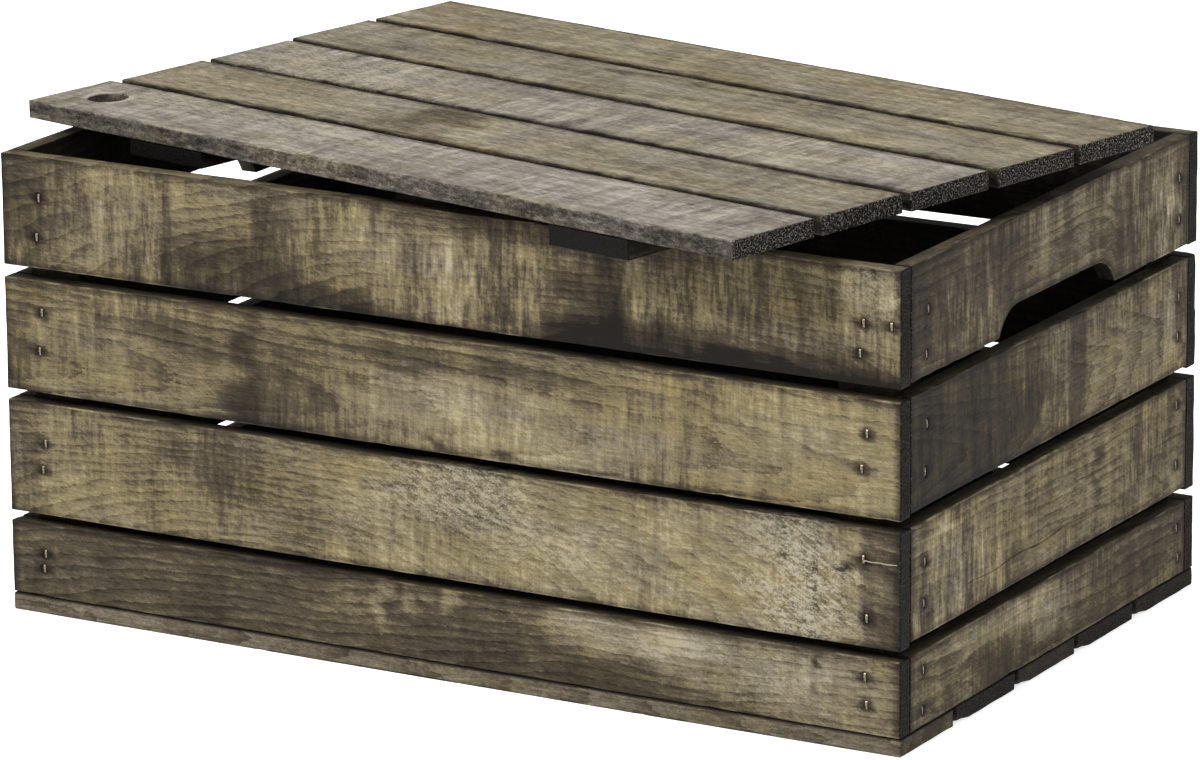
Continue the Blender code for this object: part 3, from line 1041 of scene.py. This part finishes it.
def post_mesh(name, low, high):
    """A triangular post with softened edges and its right angle in the box's corner."""
    size = high - low
    mid = (low + high) / 2
    x_in = -1 if mid.x > 0 else 1
    y_in = -1 if mid.y > 0 else 1
    corner = Vector((mid.x - x_in * size.x / 2, mid.y - y_in * size.y / 2, 0))
    outline = [corner, corner + Vector((x_in * size.x, 0, 0)), corner + Vector((0, y_in * size.y, 0))]
    bm = bmesh.new()
    extrude(bm, [(point.x, point.y, low.z) for point in outline], (0, 0, size.z))
    bmesh.ops.bevel(bm, geom=bm.edges[:], offset=1.2 * MM, segments=2, affect="EDGES", profile=0.6)
    for step in range(1, int(size.z / POST_STEP)):
        bmesh.ops.bisect_plane(
            bm, geom=bm.verts[:] + bm.edges[:] + bm.faces[:],
            plane_co=(0, 0, low.z + step * POST_STEP), plane_no=UP,
        )
    mesh = bpy.data.meshes.new(name)
    bm.to_mesh(mesh)
    bm.free()
    return mesh


def build_posts():
    """Builds the corner posts, each inside its CAD post's own outline, with its grain upright."""
    turn = Matrix(((0, 0, 1), (1, 0, 0), (0, 1, 0))).transposed()
    for side, look_seed, seed in POSTS:
        node = f"corner_post_{side}"
        low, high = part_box(node)
        size = high - low
        matrix = Matrix.Translation(node_middle(node)) @ turn.to_4x4()
        mesh = post_mesh(node + "_wood", low, high)
        mesh.transform(matrix.inverted())
        # Painted shade: the posts stand in the dark corners inside the box, so their wood is made very dark,
        # here and by the post wood's low shade.
        look = plain_look(look_seed, 0.12, 0.5, 0.12)
        dress(mesh, np.array((size.z, size.x, size.y)), look, np.random.default_rng(seed))
        mesh.transform(matrix)
        piece = add_piece(node + "_wood", mesh, "box", "post_wood", Matrix.Identity(4))
        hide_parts(node)


# ---------------------------------------------------------------- stage, light and camera


def add_area(name, place, target, size, power, colour=(1, 1, 1)):
    light = bpy.data.lights.new(name, "AREA")
    light.shape = "SQUARE"
    light.size = size
    light.energy = power
    light.color = colour
    lamp = bpy.data.objects.new(name, light)
    lamp.location = place
    lamp.rotation_euler = (Vector(target) - Vector(place)).to_track_quat("-Z", "Y").to_euler()
    bpy.context.scene.collection.objects.link(lamp)


def add_stage():
    """A pale floor that glows a little, for a background about as light as the photo's."""
    bpy.ops.mesh.primitive_plane_add(size=40, location=(0, 0, 0))
    floor = bpy.context.object
    floor.name = "floor"
    g = Graph("pale_floor")
    g.shader.inputs["Base Color"].default_value = (0.93, 0.93, 0.93, 1)
    g.shader.inputs["Roughness"].default_value = 0.9
    g.shader.inputs["Specular IOR Level"].default_value = 0.1
    g.shader.inputs["Emission Color"].default_value = (1, 1, 1, 1)
    g.shader.inputs["Emission Strength"].default_value = 0.5
    floor.data.materials.append(g.material)


def add_light():
    """An even white room with a strong key light from the front left, and weaker top and right ones."""
    world = bpy.data.worlds.new("studio")
    world.use_nodes = True
    world.node_tree.nodes["Background"].inputs["Color"].default_value = (1, 1, 1, 1)
    world.node_tree.nodes["Background"].inputs["Strength"].default_value = 0.5
    bpy.context.scene.world = world
    aim = (0, 0, RIM / 2)
    add_area("key", (-1.0, -2.7, 2.3), aim, 1.0, 125)
    add_area("top", (-0.2, 0.3, 2.4), aim, 1.6, 32)
    add_area("fill", (2.8, -1.6, 1.3), aim, 1.5, 55, (0.97, 0.98, 1.0))
    bpy.context.scene.view_settings.view_transform = "Standard"


def add_camera():
    """A distant camera to the front right, a little above the box."""
    azimuth, elevation, roll = (math.radians(a) for a in (29.97, 15.285, -0.473))
    distance, right_shift, up_shift = 3.9158, -0.0019, -0.0050
    right = Vector((math.cos(azimuth), math.sin(azimuth), 0))
    back = Vector((
        math.sin(azimuth) * math.cos(elevation), -math.cos(azimuth) * math.cos(elevation), math.sin(elevation)
    ))
    up = back.cross(right)
    place = Vector((0, 0, RIM / 2)) + back * distance + right * right_shift + up * up_shift
    turned_right = right * math.cos(roll) + up * math.sin(roll)
    turned_up = up * math.cos(roll) - right * math.sin(roll)
    data = bpy.data.cameras.new("camera")
    data.lens = 214.35
    data.sensor_width = 36
    data.clip_end = 60
    camera = bpy.data.objects.new("camera", data)
    turn = Matrix((turned_right, turned_up, back)).transposed()
    camera.matrix_world = Matrix.Translation(place) @ turn.to_4x4()
    bpy.context.scene.collection.objects.link(camera)
    bpy.context.scene.camera = camera


add_camera()
add_light()
add_stage()
match_staples(build_walls())
build_bottom()
build_posts()
build_lid()
